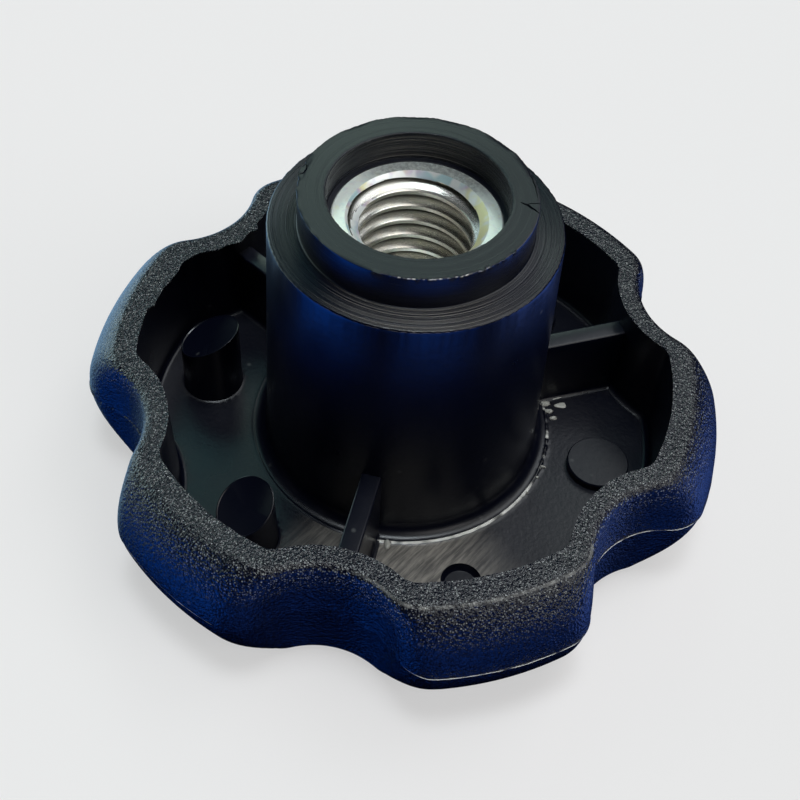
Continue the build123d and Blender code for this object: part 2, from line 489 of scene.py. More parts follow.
def outline_hub(o):
    """Up the hub, over its shoulder and ring, and down the bore to the face of the bush."""
    toe = HUB_BASE_R + HUB_FOOT
    for beyond in WITNESS:
        o.to(toe + beyond, WEB, "witness")
    o.arc((toe, WEB + HUB_FOOT), HUB_FOOT, 266, 180, 8, "foot")
    o.line((HUB_BASE_R - 0.05, WEB + HUB_FOOT + 1.2), (HUB_TOP_R + 0.012, SHOULDER_Z - 0.5), 9, "hub")
    o.arc((HUB_TOP_R - HUB_EDGE, SHOULDER_Z - HUB_EDGE), HUB_EDGE, 0, 90, 4, "hub_edge")
    o.line((HUB_TOP_R - 0.3, SHOULDER_Z), (RING_R + 0.22, SHOULDER_Z), 16, "shoulder")
    o.arc((RING_R + RING_FOOT, SHOULDER_Z + RING_FOOT), RING_FOOT, 270, 180, 4, "ring_foot")
    o.line((RING_R, SHOULDER_Z + 0.4), (RING_R, RING_TOP_Z - 0.35), 7, "ring_wall")
    for inset, drop in RING_EDGE:
        o.to(RING_R - inset, RING_TOP_Z - drop, "ring_edge")
    o.line((RING_R - 0.25, RING_TOP_Z), (BORE_R + 0.2, RING_TOP_Z), 13, "ring_top")
    for inset, drop in BORE_EDGE:
        o.to(BORE_R + inset, RING_TOP_Z - drop, "bore_edge")
    o.line((BORE_R, RING_TOP_Z - 0.3), (BORE_R, FACE_Z + 0.12), 8, "bore_wall")
    o.line((BORE_R - 0.02, FACE_Z + 0.03), (BUSH_R + 0.02, FACE_Z), 4, "bore_floor")


def bush_outlines():
    """The bush but for its bore: foot, waist and face; and the drill cone under the thread."""
    shell, cone = Outline(), Outline()
    waist_low, waist_high = FACE_Z - WAIST_TO, FACE_Z - WAIST_FROM
    shell.line((0, FOOT_Z), (BUSH_R - 0.3, FOOT_Z), 4)
    shell.line((BUSH_R, FOOT_Z + 0.3), (BUSH_R, waist_low), 4)
    shell.line((WAIST_R, waist_low + WAIST_FLANK), (WAIST_R, waist_high - WAIST_FLANK), 4)
    shell.line((BUSH_R, waist_high), (BUSH_R, FACE_Z - 0.12), 6)
    shell.line((BUSH_R - 0.12, FACE_Z), (COUNTERSINK_R, FACE_Z), 8)
    cone.line((MINOR_R, THREAD_END_Z), (0, DRILL_TIP_Z), 6)
    return shell, cone


# === wear on the moulding ==================================================
# stretches round the axis, each as its first and last angle in degrees
SHELF = (215, 284)
LIP = (146, 181.5)
# RIM_GLEAM: where a highlight is painted pale along the rim's outer edge
RIM_GLEAM = (276, 320)
WITNESS_FRONT, WITNESS_RIGHT, WITNESS_PALE_AND_LIT = (268, 352), (352, 388), (271, 338)
BURR_FRONT, BURR_LEFT, BURR_PALE = (262, 334), (165, 235), (274, 313)
CHIPPED = (20, 150)
# pale stretches of the flash line, stress-whitened flash and a painted highlight: first and last angle, and
# how pale
PALE_FLASH_AND_HIGHLIGHT = ((285, 313, 1.0), (328, 345, 1.0), (230, 250, 0.5))
# chips along the outer edge of the ring: first and last angle, and depth
RING_CHIPS = (
    (30, 42, 0.06),
    (52, 62, 0.08),
    (82, 90, 0.06),
    (100, 108, 0.07),
    (131, 140, 0.07),
    (172, 184, 0.10),
)
# how far a row of vertices may be off the others on a turned face
CUTTER_STEPS = (("shoulder", 0.008), ("ring_wall", 0.010), ("bore_wall", 0.012), ("ring_top", 0.004))
UPRIGHT_WALLS = ("ring_wall", "bore_wall")


def ragged(turn, seed, lowest, highest):
    """A rough closed line round the axis, about -1 to 1, from waves of that many per turn."""
    draw = np.random.default_rng(seed)
    waves = np.arange(lowest, highest)
    swing = waves ** -0.35
    phase = draw.uniform(0, TAU, len(waves))
    line = (swing[:, None] * np.cos(waves[:, None] * turn[None, :] + phase[:, None])).sum(0)
    return np.clip(line / (2.2 * math.sqrt((swing**2).sum() / 2)), -1, 1)


def window(turn, first, last, soft=3.0):
    """1 between two angles in degrees, fading to 0 over soft degrees outside them."""
    middle, half = (first + last) / 2, (last - first) / 2
    off = np.abs((np.degrees(turn) - middle + 180) % 360 - 180)
    return np.clip((half + soft - off) / soft, 0, 1)


class Wear:
    """The vertices of a lathed skin, to be moved and turned pale row by row, in millimetres."""

    def __init__(self, mesh):
        self.mesh = mesh
        count = len(mesh.vertices)
        place = np.empty(count * 3)
        mesh.vertices.foreach_get("co", place)
        self.place = place.reshape(-1, 3) / MM
        self.row_of = row_of_vertices(mesh)
        self.turn = np.arctan2(self.place[:, 1], self.place[:, 0]) % TAU
        radius = np.maximum(np.hypot(self.place[:, 0], self.place[:, 1]), 1e-6)
        self.out = self.place[:, :2] / radius[:, None]
        self.pale = np.zeros(count)

    def turns(self, row):
        """The angle of each vertex of a row."""
        return self.turn[self.row_of == row]

    def move(self, row, outwards, up):
        """Moves a row's vertices outwards and up, each by one number or by one for each vertex."""
        here = self.row_of == row
        self.place[here, :2] += self.out[here] * np.reshape(outwards, (-1, 1))
        self.place[here, 2] += up

    def whiten(self, row, level):
        """Marks how pale the vertices of one row are: thin burrs, and highlights painted along edges."""
        self.pale[self.row_of == row] = np.clip(level, 0, 1)

    def apply(self):
        """Puts the moved vertices and their paleness on the mesh."""
        self.mesh.vertices.foreach_set("co", (self.place * MM).ravel())
        # the paleness is kept as "wear": thin burrs, and highlights painted along the rim, flash line and
        # witness ring
        self.mesh.attributes.new("wear", "FLOAT", "POINT").data.foreach_set("value", self.pale)
        self.mesh.update()


def row_of_vertices(mesh):
    """Which row of its outline each vertex of a lathed skin came from."""
    rows = np.empty(len(mesh.vertices))
    mesh.attributes["station"].data.foreach_get("value", rows)
    return np.rint(rows).astype(int)


def wear_parting_line(wear, rows):
    """A low flash over most of the way round, pale in stretches as stress-whitened flash and a painted
    highlight, and a shelf left of the front lobe.
    """

    def shelf(turn):
        return 0.12 * window(turn, *SHELF, 6)

    shares, above = (0.0, 0.5, 0.87, 1.0, 0.87, 0.5, 0.0), (0, 0, 0, 1, 1, 1, 1)
    for share, is_above, row in zip(shares, above, rows["parting"]):
        turn = wear.turns(row)
        flash = 0.10 + 0.025 * ragged(turn, 3, 10, 120) - 0.10 * window(turn, *SHELF, 3)
        wear.move(row, share * flash - (1 - is_above) * shelf(turn), 0.0)
    # pale flash: stress-whitened, and a painted highlight along the ridge
    for row in rows["parting"][2:5]:
        turn = wear.turns(row)
        level = sum(pale * window(turn, first, last, 2) for first, last, pale in PALE_FLASH_AND_HIGHLIGHT) + 0.15
        wear.whiten(row, level * (0.65 + 0.5 * ragged(turn, 31, 20, 200)))
    for row in rows["skirt"]:
        if row < rows["parting"][0]:
            wear.move(row, -shelf(wear.turns(row)), 0.0)


def wear_rim(wear, rows):
    """A highlight painted pale along the rim in front, and a lip of flash over the hollow, broken off at
    one end.
    """
    # painted highlight: the rim's outer edge turned pale in front
    for row in rows["rim_edge"][4:6]:
        turn = wear.turns(row)
        wear.whiten(row, 0.30 * window(turn, *RIM_GLEAM, 10) * (0.8 + 0.3 * ragged(turn, 41, 60, 250)))
    shares = (0.0, 0.35, 0.75, 0.95, 1.0, 0.97, 0.1)
    for share, row in zip(shares, rows["rim_lip"] + rows["under_lip"]):
        turn = wear.turns(row)
        lip = window(turn, *LIP, 0.9) * (0.62 + 0.24 * ragged(turn, 5, 4, 90))
        torn = 0.04 + 0.07 * np.maximum(ragged(turn, 6, 14, 200), -0.3)
        up = 0.6 * torn if row in rows["rim_lip"] else -0.06 * lip
        wear.move(row, -share * (lip + 0.5 * torn), share * up)


def wear_hub_foot(wear, rows):
    """A witness ring round the foot of the hub, thick in front and rough at the right, pale along its front
    and right as a stress-whitened burr and a painted highlight.
    """
    for share, row in zip((0.05, 0.45, 0.95, 1.0, 0.6, 0.1), rows["witness"]):
        turn = wear.turns(row)
        front = 0.13 * window(turn, *WITNESS_FRONT, 12) * (0.75 + 0.35 * ragged(turn, 8, 6, 60))
        right = 0.16 * window(turn, *WITNESS_RIGHT, 5) * (0.4 + 0.9 * ragged(turn, 9, 20, 140))
        wear.move(row, 0.0, share * np.maximum(0.03 + front + right, 0.02))
    # pale witness ring: stress-whitened burr, and a painted highlight
    for row in rows["witness"][1:5]:
        turn = wear.turns(row)
        front = window(turn, *WITNESS_PALE_AND_LIT, 10) * (0.75 + 0.45 * ragged(turn, 32, 8, 90))
        wear.whiten(row, front + 0.8 * window(turn, *WITNESS_RIGHT, 4) * ragged(turn, 33, 20, 140))


def wear_hub_end(wear, rows):
    """A rough shoulder edge, a burr along the front of the ring and chips along its back."""

    def chips(turn):
        small = 0.04 * window(turn, *CHIPPED, 8) * np.maximum(ragged(turn, 17, 14, 160), 0)
        return small + sum(depth * window(turn, first, last, 5) for first, last, depth in RING_CHIPS)

    for row in rows["hub_edge"]:
        turn = wear.turns(row)
        wear.move(row, 0.035 * ragged(turn, 11, 8, 160), -0.03 * np.maximum(ragged(turn, 12, 10, 150), 0))
    for share, row in zip((0.35, 0.8, 1.0, 0.9), rows["ring_edge"]):
        turn = wear.turns(row)
        front = 0.16 * window(turn, *BURR_FRONT, 8) * np.maximum(ragged(turn, 14, 12, 150) + 0.25, 0)
        left = 0.13 * window(turn, *BURR_LEFT, 10) * np.maximum(ragged(turn, 15, 5, 60) + 0.4, 0)
        burr = share * (front + left + 0.015 * ragged(turn, 16, 20, 200))
        wear.move(row, burr - 0.3 * chips(turn), 0.5 * burr - 0.9 * share * chips(turn))
    for row in rows["ring_edge"][1:3]:
        turn = wear.turns(row)
        wear.whiten(row, 0.7 * window(turn, *BURR_PALE, 8) * (0.45 + 0.6 * ragged(turn, 34, 25, 200)))
    for share, row in zip((0.55, 0.15), rows["ring_top"]):
        wear.move(row, 0.0, -share * chips(wear.turns(row)))
    for row in rows["bore_edge"]:
        turn = wear.turns(row)
        inwards = 0.04 * np.maximum(ragged(turn, 19, 10, 160), -0.2)
        wear.move(row, -inwards, 0.02 * ragged(turn, 20, 10, 150))


def step_turned_faces(wear, rows):
    """The cutter left the turned faces very slightly stepped."""
    draw = np.random.default_rng(23)
    for group, most in CUTTER_STEPS:
        for row in rows[group]:
            off = draw.uniform(-most, most)
            wear.move(row, *((off, 0.0) if group in UPRIGHT_WALLS else (0.0, off)))


def worn(mesh, rows):
    """Moves the moulding's edge rows into burrs, chips and flash, in place."""
    wear = Wear(mesh)
    for part in (wear_parting_line, wear_rim, wear_hub_foot, wear_hub_end, step_turned_faces):
        part(wear, rows)
    wear.apply()


# === solids ================================================================
def face_outwards(mesh):
    """Turns a closed mesh's faces outwards, in place."""
    work = bmesh.new()
    work.from_mesh(mesh)
    bmesh.ops.triangulate(work, faces=[face for face in work.faces if len(face.verts) > 4])
    bmesh.ops.recalc_face_normals(work, faces=work.faces)
    if work.calc_volume(signed=True) < 0:
        bmesh.ops.reverse_faces(work, faces=work.faces)
    work.to_mesh(mesh)
    work.free()
    mesh.update()


def tube_faces(rings, count):
    """The faces between rings of vertices that follow one another, count to a ring."""
    faces = []
    for ring in range(rings - 1):
        for k in range(count):
            a, b = ring * count + k, ring * count + (k + 1) % count
            faces.append((a, b, b + count, a + count))
    return faces


def solid_of(name, points, faces, material=None):
    """A mesh of points, in metres, and the faces between them."""
    mesh = bpy.data.meshes.new(name)
    mesh.from_pydata(points, [], faces)
    if material:
        mesh.materials.append(materials[material])
    return mesh


def swept_solid(name, profile, stations):
    """A solid swept along +X through the stations from a profile of (y, z) pairs."""
    count, last = len(profile), (len(stations) - 1) * len(profile)
    points = [(x * MM, y * MM, z * MM) for x in stations for y, z in profile]
    ends = [tuple(reversed(range(count))), tuple(range(last, last + count))]
    return solid_of(name, points, tube_faces(len(stations), count) + ends)


def turned_solid(name, profile, centre, columns=96):
    """A solid turned about an upright axis, from (radius, z) pairs that start and end on the axis."""
    x, y, rings = centre[0], centre[1], profile[1:-1]
    turns = [TAU * k / columns for k in range(columns)]
    points = [(x + r * math.cos(turn), y + r * math.sin(turn), z) for r, z in rings for turn in turns]
    low, high, last = len(points), len(points) + 1, (len(rings) - 1) * columns
    points += [(x, y, profile[0][1]), (x, y, profile[-1][1])]
    faces = tube_faces(len(rings), columns)
    for k in range(columns):
        faces.append((low, (k + 1) % columns, k))
        faces.append((high, last + k, last + (k + 1) % columns))
    return solid_of(name, np.array(points) * MM, faces, "moulding_plain")


def groove(name, stations, width, depth, top):
    """A thin wedge along (radius, angle) stations, for cutting a crack or a nick into a face."""
    line = [Vector(polar(radius, angle, top)) for radius, angle in stations]
    lift = Vector((0, 0, GROOVE_LIFT))
    last = len(line) - 1
    points = []
    for step, spot in enumerate(line):
        ahead = (line[min(step + 1, last)] - line[max(step - 1, 0)]).normalized()
        share = 0.12 + 0.38 * math.sin(math.pi * step / last)
        aside = Vector((-ahead.y, ahead.x, 0)) * width * share * 1.3
        points += [spot + aside + lift, spot - aside + lift, spot - Vector((0, 0, depth))]
    ends = [(0, 1, 2), (3 * last + 2, 3 * last + 1, 3 * last)]
    faces = tube_faces(len(line), 3) + ends
    mesh = solid_of(name, [point * MM for point in points], faces, "moulding_turned")
    face_outwards(mesh)
    return mesh


def lump(angle, radial, size, tall, seed):
    """A small ragged lump of spilled flash sunk in the floor."""
    work = bmesh.new()
    bmesh.ops.create_icosphere(work, subdivisions=3, radius=1.0)
    draw = np.random.default_rng(seed)
    aims, swings = draw.normal(size=(5, 3)), draw.uniform(0.03, 0.12, 5)
    for vertex in work.verts:
        waves = [math.sin(2.4 * float(np.dot(aim, vertex.co))) for aim in aims]
        swell = 1.0 + sum(swing * wave for swing, wave in zip(swings, waves))
        along, aside = vertex.co.x * size * swell, vertex.co.y * 0.6 * size * swell
        spot = polar(radial + along, angle, WEB + vertex.co.z * tall * swell) + polar(aside, angle + 90)
        vertex.co = Vector(spot) * MM
    mesh = bpy.data.meshes.new("lump")
    work.to_mesh(mesh)
    work.free()
    mesh.materials.append(materials["moulding_burr"])
    return mesh


def combined(target, others, operation):
    """The target mesh with the others joined on or cut away."""
    base = in_scene("base", target)
    tools = [in_scene("tool", mesh) for mesh in others]
    for tool in tools:
        cut = base.modifiers.new("cut", "BOOLEAN")
        cut.operation, cut.solver, cut.object = operation, "MANIFOLD", tool
    made = evaluated(base, target.name)
    for thing in (base, *tools):
        bpy.data.objects.remove(thing)
    return made


# === shader helpers and groups =============================================
# painted highlights: pale grains standing in for glints of light on the upper skirt and rim; how many per
# metre, and the heights they fade in between
PAINTED_GLINTS, PAINTED_GLINT_FROM, PAINTED_GLINT_TO = 5000.0, 10.0, 14.0


def object_space(tree):
    """The place on the object."""
    return add(tree, "ShaderNodeTexCoord").outputs["Object"]


def axes(tree, names):
    """The place on the object along each of the named axes."""
    split = add(tree, "ShaderNodeSeparateXYZ", {"Vector": object_space(tree)})
    return [Term(tree, split.outputs[name]) for name in names]


def facing(tree, angle):
    """1 on the side of the axis that lies at an angle, -1 on the far side."""
    x, y = axes(tree, "XY")
    return (x * math.cos(angle) + y * math.sin(angle)) / (x * x + y * y).root()


def noise(tree, where, scale, detail, roughness=0.5):
    """The level of a noise texture."""
    values = {"Vector": where, "Scale": scale, "Detail": detail, "Roughness": roughness}
    return Term(tree, add(tree, "ShaderNodeTexNoise", values).outputs["Fac"])


def kept_level(tree, name):
    """A number kept at the vertices."""
    return Term(tree, add(tree, "ShaderNodeAttribute", attribute_name=name).outputs["Fac"])


def mixed(tree, share, first, second):
    """One colour turned into another by a share."""
    mix = add(tree, "ShaderNodeMix", {"Factor": share, "A": first, "B": second}, data_type="RGBA")
    return Term(tree, next(socket for socket in mix.outputs if socket.type == "RGBA"))


def bumped(tree, distance, level):
    """The normal of a face with a relief on it."""
    bump = add(tree, "ShaderNodeBump", {"Distance": distance, "Height": level})
    return Term(tree, bump.outputs["Normal"])


def give(tree, result, values):
    """Links values to the named outputs of a group."""
    for label, value in values.items():
        tree.links.new(value.socket, result.inputs[label])


def moulded_surface_group():
    """Fine grain of a black moulding: roughness, a bump and a mask of dust specks and painted glints, all
    from object space.
    """
    tree, given, result = tree_with(
        "moulded_surface",
        "ShaderNodeTree",
        {
            "Grain size": 0.35 * MM,
            "Grain height": 0.02 * MM,
            "Roughness": 0.4,
            "Roughness swing": 0.1,
            "Dust": 0.3,
            "Painted glint": 0.0,
        },
        {"Roughness": "Float", "Normal": "Vector", "Dust": "Float"},
    )
    here, height = object_space(tree), axes(tree, "Z")[0]
    grain = noise(tree, here, given["Grain size"].op("POWER", -1.0), 1.5, 0.6)
    coarse = noise(tree, here, 160.0, 2.0)
    rough = given["Roughness"] + (coarse - 0.5) * 2.0 * given["Roughness swing"]
    specks = add(tree, "ShaderNodeTexVoronoi", {"Vector": here, "Scale": 420.0})
    speck = (Term(tree, specks.outputs["Distance"]) * -8.0 + 1.0).op("MAXIMUM", 0.0)
    rare = (coarse * 4.0 - 2.0).op("MAXIMUM", 0.0).op("MINIMUM", 1.0)
    # painted highlights: pale grains where light would glint, fading out below the upper skirt
    cells = add(tree, "ShaderNodeTexVoronoi", {"Vector": here, "Scale": PAINTED_GLINTS})
    chance = add(tree, "ShaderNodeSeparateXYZ", {"Vector": cells.outputs["Color"]}).outputs["X"]
    painted_glint = Term(tree, cells.outputs["Distance"]).eased(0.50, 0.15) * Term(tree, chance).op("POWER", 1.5)
    painted_glint = painted_glint * height.eased(PAINTED_GLINT_FROM * MM, PAINTED_GLINT_TO * MM) * given["Painted glint"]
    # the Dust output: dust specks and painted glints together
    dust = (speck * rare * given["Dust"] + painted_glint).op("MINIMUM", 1.0)
    normal = bumped(tree, given["Grain height"], grain)
    give(tree, result, {"Roughness": rough, "Normal": normal, "Dust": dust})
    return tree


def turned_surface_group():
    """Marks that a cutting tool leaves round the axis: roughness and a bump from radius and height."""
    tree, given, result = tree_with(
        "turned_surface",
        "ShaderNodeTree",
        {"Mark spacing": 0.12 * MM, "Mark height": 0.006 * MM, "Roughness": 0.3, "Roughness swing": 0.12},
        {"Roughness": "Float", "Normal": "Vector", "Marks": "Float"},
    )
    x, y, z = axes(tree, "XYZ")
    lie = ((x * x + y * y).root() + z * 0.9) / given["Mark spacing"]
    values = {"W": lie, "Scale": 1.0, "Detail": 3.0, "Roughness": 0.75}
    marks = add(tree, "ShaderNodeTexNoise", values, noise_dimensions="1D")
    level = Term(tree, marks.outputs["Fac"])
    rough = given["Roughness"] + (level - 0.5) * 2.0 * given["Roughness swing"]
    normal = bumped(tree, given["Mark height"], level)
    give(tree, result, {"Roughness": rough, "Normal": normal, "Marks": level})
    return tree


# === materials =============================================================
# black with a blue cast in the colour itself: painted reflection standing in for blue light from the
# surroundings
MOULDING = (0.0012, 0.0019, 0.0075, 1.0)
# pale colour of thin burrs, also used for highlights painted along the rim, flash line and witness ring
BURR_AND_HIGHLIGHT = (0.85, 0.83, 0.77, 1.0)
BURR_LUMP = (0.42, 0.41, 0.37, 1.0)
# pale grey of dust specks and of painted glints
DUST_AND_GLINT = (0.30, 0.31, 0.30, 1.0)
# pale colour of the floor's scuffs, also used for painted light over the floor's front and painted
# highlights on the shoulder; the angle where these are strongest
SCUFF_AND_PAINTED_LIGHT, SCUFF_AND_LIGHT_SHARE, SCUFF_AND_LIGHT_AT = (0.34, 0.31, 0.27, 1.0), 0.52, math.radians(281)
SCUFF_LIE, SCUFF_STRETCH = math.radians(63), (9.0, 1.0, 1.0)
# how strongly the painted highlights are laid along the shoulder's cutter marks
HIGHLIGHT_STREAK_SHARE = 0.55
# painted shade that darkens the thread's grooves
GROOVE_SHADE_GREY = (0.12, 0.12, 0.10, 1.0)
DULL_ZINC, DULLED_AT = (0.34, 0.36, 0.35, 1.0), math.radians(92)
# tints of the passivation, from one end of the range to the other
BLOOM_FIRST, BLOOM_MIDDLE, BLOOM_LAST = (
    (0.36, (0.90, 0.84, 0.42, 1.0)),
    (0.50, (0.62, 0.50, 0.66, 1.0)),
    (0.62, (0.50, 0.74, 0.78, 1.0)),
)
# moulded faces: roughness, grain size and height in millimetres, roughness swing, dust and painted glint
MOULDED = {
    "moulding_grained": (0.24, 0.26, 0.180, 0.06, 0.5, 0.95),
    "moulding_plain": (0.30, 0.60, 0.012, 0.06, 0.6, 0.0),
    "moulding_floor": (0.30, 0.45, 0.020, 0.10, 0.8, 0.0),
}
# turned faces: spacing and height of the marks in millimetres, roughness and its swing
TURNED = {
    "moulding_turned": (0.10, 0.008, 0.30, 0.10),
    "moulding_shoulder": (0.15, 0.055, 0.24, 0.12),
    "zinc_face": (0.20, 0.010, 0.34, 0.14),
    "zinc_cone": (0.20, 0.006, 0.42, 0.12),
    "zinc_thread": (0.06, 0.004, 0.24, 0.08),
}
# zinc: colour, how metallic, share of the passivation's tint and the size of its spots in millimetres
ZINC = {
    "zinc_face": ((0.94, 0.99, 0.92, 1.0), 0.55, 0.20, 0.5),
    "zinc_cone": ((0.97, 0.99, 0.97, 1.0), 0.55, 0.85, 2.0),
    "zinc_thread": ((0.96, 0.94, 0.87, 1.0), 0.85, 0.15, 0.8),
}


def burr_group():
    """A colour turned pale where the moulding was left as a thin burr, and where a highlight is painted
    along the rim, flash line and witness ring.
    """
    tree, given, result = tree_with("burr", "ShaderNodeTree", {"Clean": "Color"}, {"Colour": "Color"})
    # paleness kept at the vertices: thin burrs, and painted highlights along edges
    thin = kept_level(tree, "wear").eased(0.1, 0.8)
    give(tree, result, {"Colour": mixed(tree, thin, given["Clean"], BURR_AND_HIGHLIGHT)})
    return tree


def bloom_group():
    """The bare zinc colour with soft spots of a passivation tint."""
    inputs = {"Tint": "Color", "Share": 0.5, "Spots per metre": 1000.0}
    tree, given, result = tree_with("bloom", "ShaderNodeTree", inputs, {"Colour": "Color"})
    here = object_space(tree)
    spots = noise(tree, here, given["Spots per metre"], 2.0)
    hue = noise(tree, here, given["Spots per metre"] * 0.6, 1.0)
    bands = add(tree, "ShaderNodeValToRGB", {"Fac": hue})
    ramp = bands.color_ramp.elements
    ramp[0].position, ramp[0].color = BLOOM_FIRST
    ramp[1].position, ramp[1].color = BLOOM_LAST
    ramp.new(BLOOM_MIDDLE[0]).color = BLOOM_MIDDLE[1]
    level = spots.eased(0.44, 0.60) * given["Share"]
    give(tree, result, {"Colour": mixed(tree, level, given["Tint"], bands.outputs["Color"])})
    return tree


groups = {
    "moulded": moulded_surface_group(),
    "turned": turned_surface_group(),
    "burr": burr_group(),
    "bloom": bloom_group(),
}


def principled(name, colour, roughness, metallic=0.0):
    """A material and its Principled shader."""
    material = bpy.data.materials.new(name)
    material.use_nodes = True
    shader = material.node_tree.nodes["Principled BSDF"]
    shader.inputs["Base Color"].default_value = colour
    shader.inputs["Roughness"].default_value = roughness
    shader.inputs["Metallic"].default_value = metallic
    return material, shader


def from_group(tree, name, values):
    """The outputs, as terms by name, of a shared group placed in a material."""
    node = add(tree, "ShaderNodeGroup", values, node_tree=groups[name])
    return {output.name: Term(tree, output) for output in node.outputs}


def streaked(tree, marks):
    """The moulding's colour with painted highlights along the cutter marks, strongest in front and at the
    back.
    """
    front = facing(tree, SCUFF_AND_LIGHT_AT)
    level = (front * front).eased(0.45, 1.0) * marks.eased(0.46, 0.72)
    return mixed(tree, level * HIGHLIGHT_STREAK_SHARE, MOULDING, SCUFF_AND_PAINTED_LIGHT)


def scuffed(tree, clean):
    """The floor's colour with fine straight scuffs and painted light over its front, fading to both sides.
    """
    values = {"Vector": object_space(tree), "Rotation": (0.0, 0.0, SCUFF_LIE), "Scale": SCUFF_STRETCH}
    laid = add(tree, "ShaderNodeMapping", values, vector_type="TEXTURE")
    streaks = noise(tree, laid.outputs[0], 2600.0, 3.0, 0.7).eased(0.3, 0.7)
    level = facing(tree, SCUFF_AND_LIGHT_AT).eased(0.78, 1.0) * (streaks * 1.1 + 0.45)
    return mixed(tree, level * SCUFF_AND_LIGHT_SHARE, clean, SCUFF_AND_PAINTED_LIGHT)


def greyed_at_back(tree, bright):
    """The zinc of the bush's face, dull and mottled over its back half."""
    mottle = noise(tree, object_space(tree), 3200.0, 3.0, 0.7).eased(0.3, 0.7)
    level = facing(tree, DULLED_AT).eased(0.45, 0.85) * (mottle * 0.5 + 0.5)
    return mixed(tree, level, bright, DULL_ZINC)


def moulded_material(name):
    """A material of the black moulding as it left the mould."""
    roughness, grain, height, swing, dust, painted_glint = MOULDED[name]
    material, shader = principled(name, MOULDING, roughness)
    tree = material.node_tree
    values = {
        "Grain size": grain * MM,
        "Grain height": height * MM,
        "Roughness": roughness,
        "Roughness swing": swing,
        "Dust": dust,
        "Painted glint": painted_glint,
    }
    face = from_group(tree, "moulded", values)
    # pale dust specks and painted glints over the moulding's colour
    colour = mixed(tree, face["Dust"], MOULDING, DUST_AND_GLINT)
    if name == "moulding_floor":
        # floor scuffs, with a painted pool of light over the front
        colour = scuffed(tree, colour)
    colour = from_group(tree, "burr", {"Clean": colour})["Colour"]
    return with_surface(material, shader, face, colour)


def turned_material(name):
    """A material of the moulding or the bush as a cutting tool left it."""
    spacing, height, roughness, swing = TURNED[name]
    tint, metallic, share, size = ZINC.get(name, (MOULDING, 0.0, 0.0, 0.0))
    material, shader = principled(name, tint, roughness, metallic)
    tree = material.node_tree
    values = {
        "Mark spacing": spacing * MM,
        "Mark height": height * MM,
        "Roughness": roughness,
        "Roughness swing": swing,
    }
    face = from_group(tree, "turned", values)
    if name in ZINC:
        values = {"Tint": tint, "Share": share, "Spots per metre": 1 / (size * MM)}
        colour = from_group(tree, "bloom", values)["Colour"]
        if name == "zinc_thread":
            # painted shade in the thread's grooves
            colour = mixed(tree, kept_level(tree, "groove").eased(0.55, 0.95), colour, GROOVE_SHADE_GREY)
        elif name == "zinc_face":
            colour = greyed_at_back(tree, colour)
    else:
        # painted highlight streaks along the shoulder's cutter marks
        clean = streaked(tree, face["Marks"]) if name == "moulding_shoulder" else MOULDING
        colour = from_group(tree, "burr", {"Clean": clean})["Colour"]
    return with_surface(material, shader, face, colour)


def with_surface(material, shader, face, colour):
    """The material with its colour, and the roughness and normal of a shared surface group."""
    links = material.node_tree.links
    links.new(colour.socket, shader.inputs["Base Color"])
    links.new(face["Roughness"].socket, shader.inputs["Roughness"])
    links.new(face["Normal"].socket, shader.inputs["Normal"])
    return material


def make_materials():
    """Every material of the knob, by name."""
    made = {name: moulded_material(name) for name in MOULDED}
    made.update({name: turned_material(name) for name in TURNED})
    made["moulding_burr"] = principled("moulding_burr", BURR_LUMP, 0.35)[0]
    return made


# === building ==============================================================
materials = make_materials()
lathed, bored, copied = lathed_lobes_tree(), helical_bore_tree(), copies_round_axis_tree()

# how deep added solids are sunk in the web, and how high cutters stand above the face they cut
SUNK, GROOVE_LIFT = 0.8, 0.1
# the moulding's materials, with the rows that each is on; the rest are grained
SLOTS = (
    ("moulding_grained", ()),
    ("moulding_plain", ("under_lip", "wall", "witness", "foot", "hub")),
    ("moulding_floor", ("floor",)),
    (
        "moulding_turned",
        ("ring_foot", "ring_wall", "ring_edge", "ring_top", "bore_edge", "bore_floor", "seat"),
    ),
    ("moulding_shoulder", ("shoulder", "hub_edge", "bore_wall")),
    ("moulding_burr", ()),
)
# rounding along a rib's top edges, and flare at its foot
RIB_EDGE, RIB_FLARE = 0.22, 0.5
# turned solids as (radius, height) pairs
PAD = (
    (0, WEB - SUNK),
    (MARK_R + 0.02, WEB - SUNK),
    (MARK_R + 0.02, WEB),
    (MARK_R, WEB + PAD_H - 0.12),
    (MARK_R - 0.12, WEB + PAD_H),
    (0, WEB + PAD_H),
)
DIMPLE_CUT = (
    (0, WEB - DIMPLE),
    (DIMPLE_R - 0.3, WEB - DIMPLE),
    (DIMPLE_R, WEB - DIMPLE + 0.3),
    (DIMPLE_R + 0.1, WEB),
    (DIMPLE_R + 0.3, WEB + 0.4),
    (0, WEB + 0.4),
)
# pads: angle, and how far aside of the lobe's middle
PADS = ((0, -0.55), (60, 0.0), (120, 0.0))
# the dimple's place: radius and angle
DIMPLE_AT = (20.0, 299.7)
# posts: angle, radial place, how far aside, and height and radius of the top
POSTS = ((180, 20.15, 0.0, 10.6, 2.95), (240, 20.95, -0.4, 9.0, 2.7))
# lumps of flash round the foot of the hub: angle, radial place, size and height
LUMPS = (
    (278.6, 15.45, 0.50, 0.34),
    (16.0, 15.9, 0.40, 0.24),
    (19.5, 15.6, 0.46, 0.28),
    (23.5, 15.4, 0.52, 0.30),
    (26.5, 16.8, 0.90, 0.08),
    (22.0, 17.0, 0.60, 0.10),
    (352.0, 15.35, 0.30, 0.22),
    (346.5, 15.3, 0.22, 0.18),
    (257.0, 19.6, 0.30, 0.16),
    (338.0, 15.3, 0.18, 0.14),
)
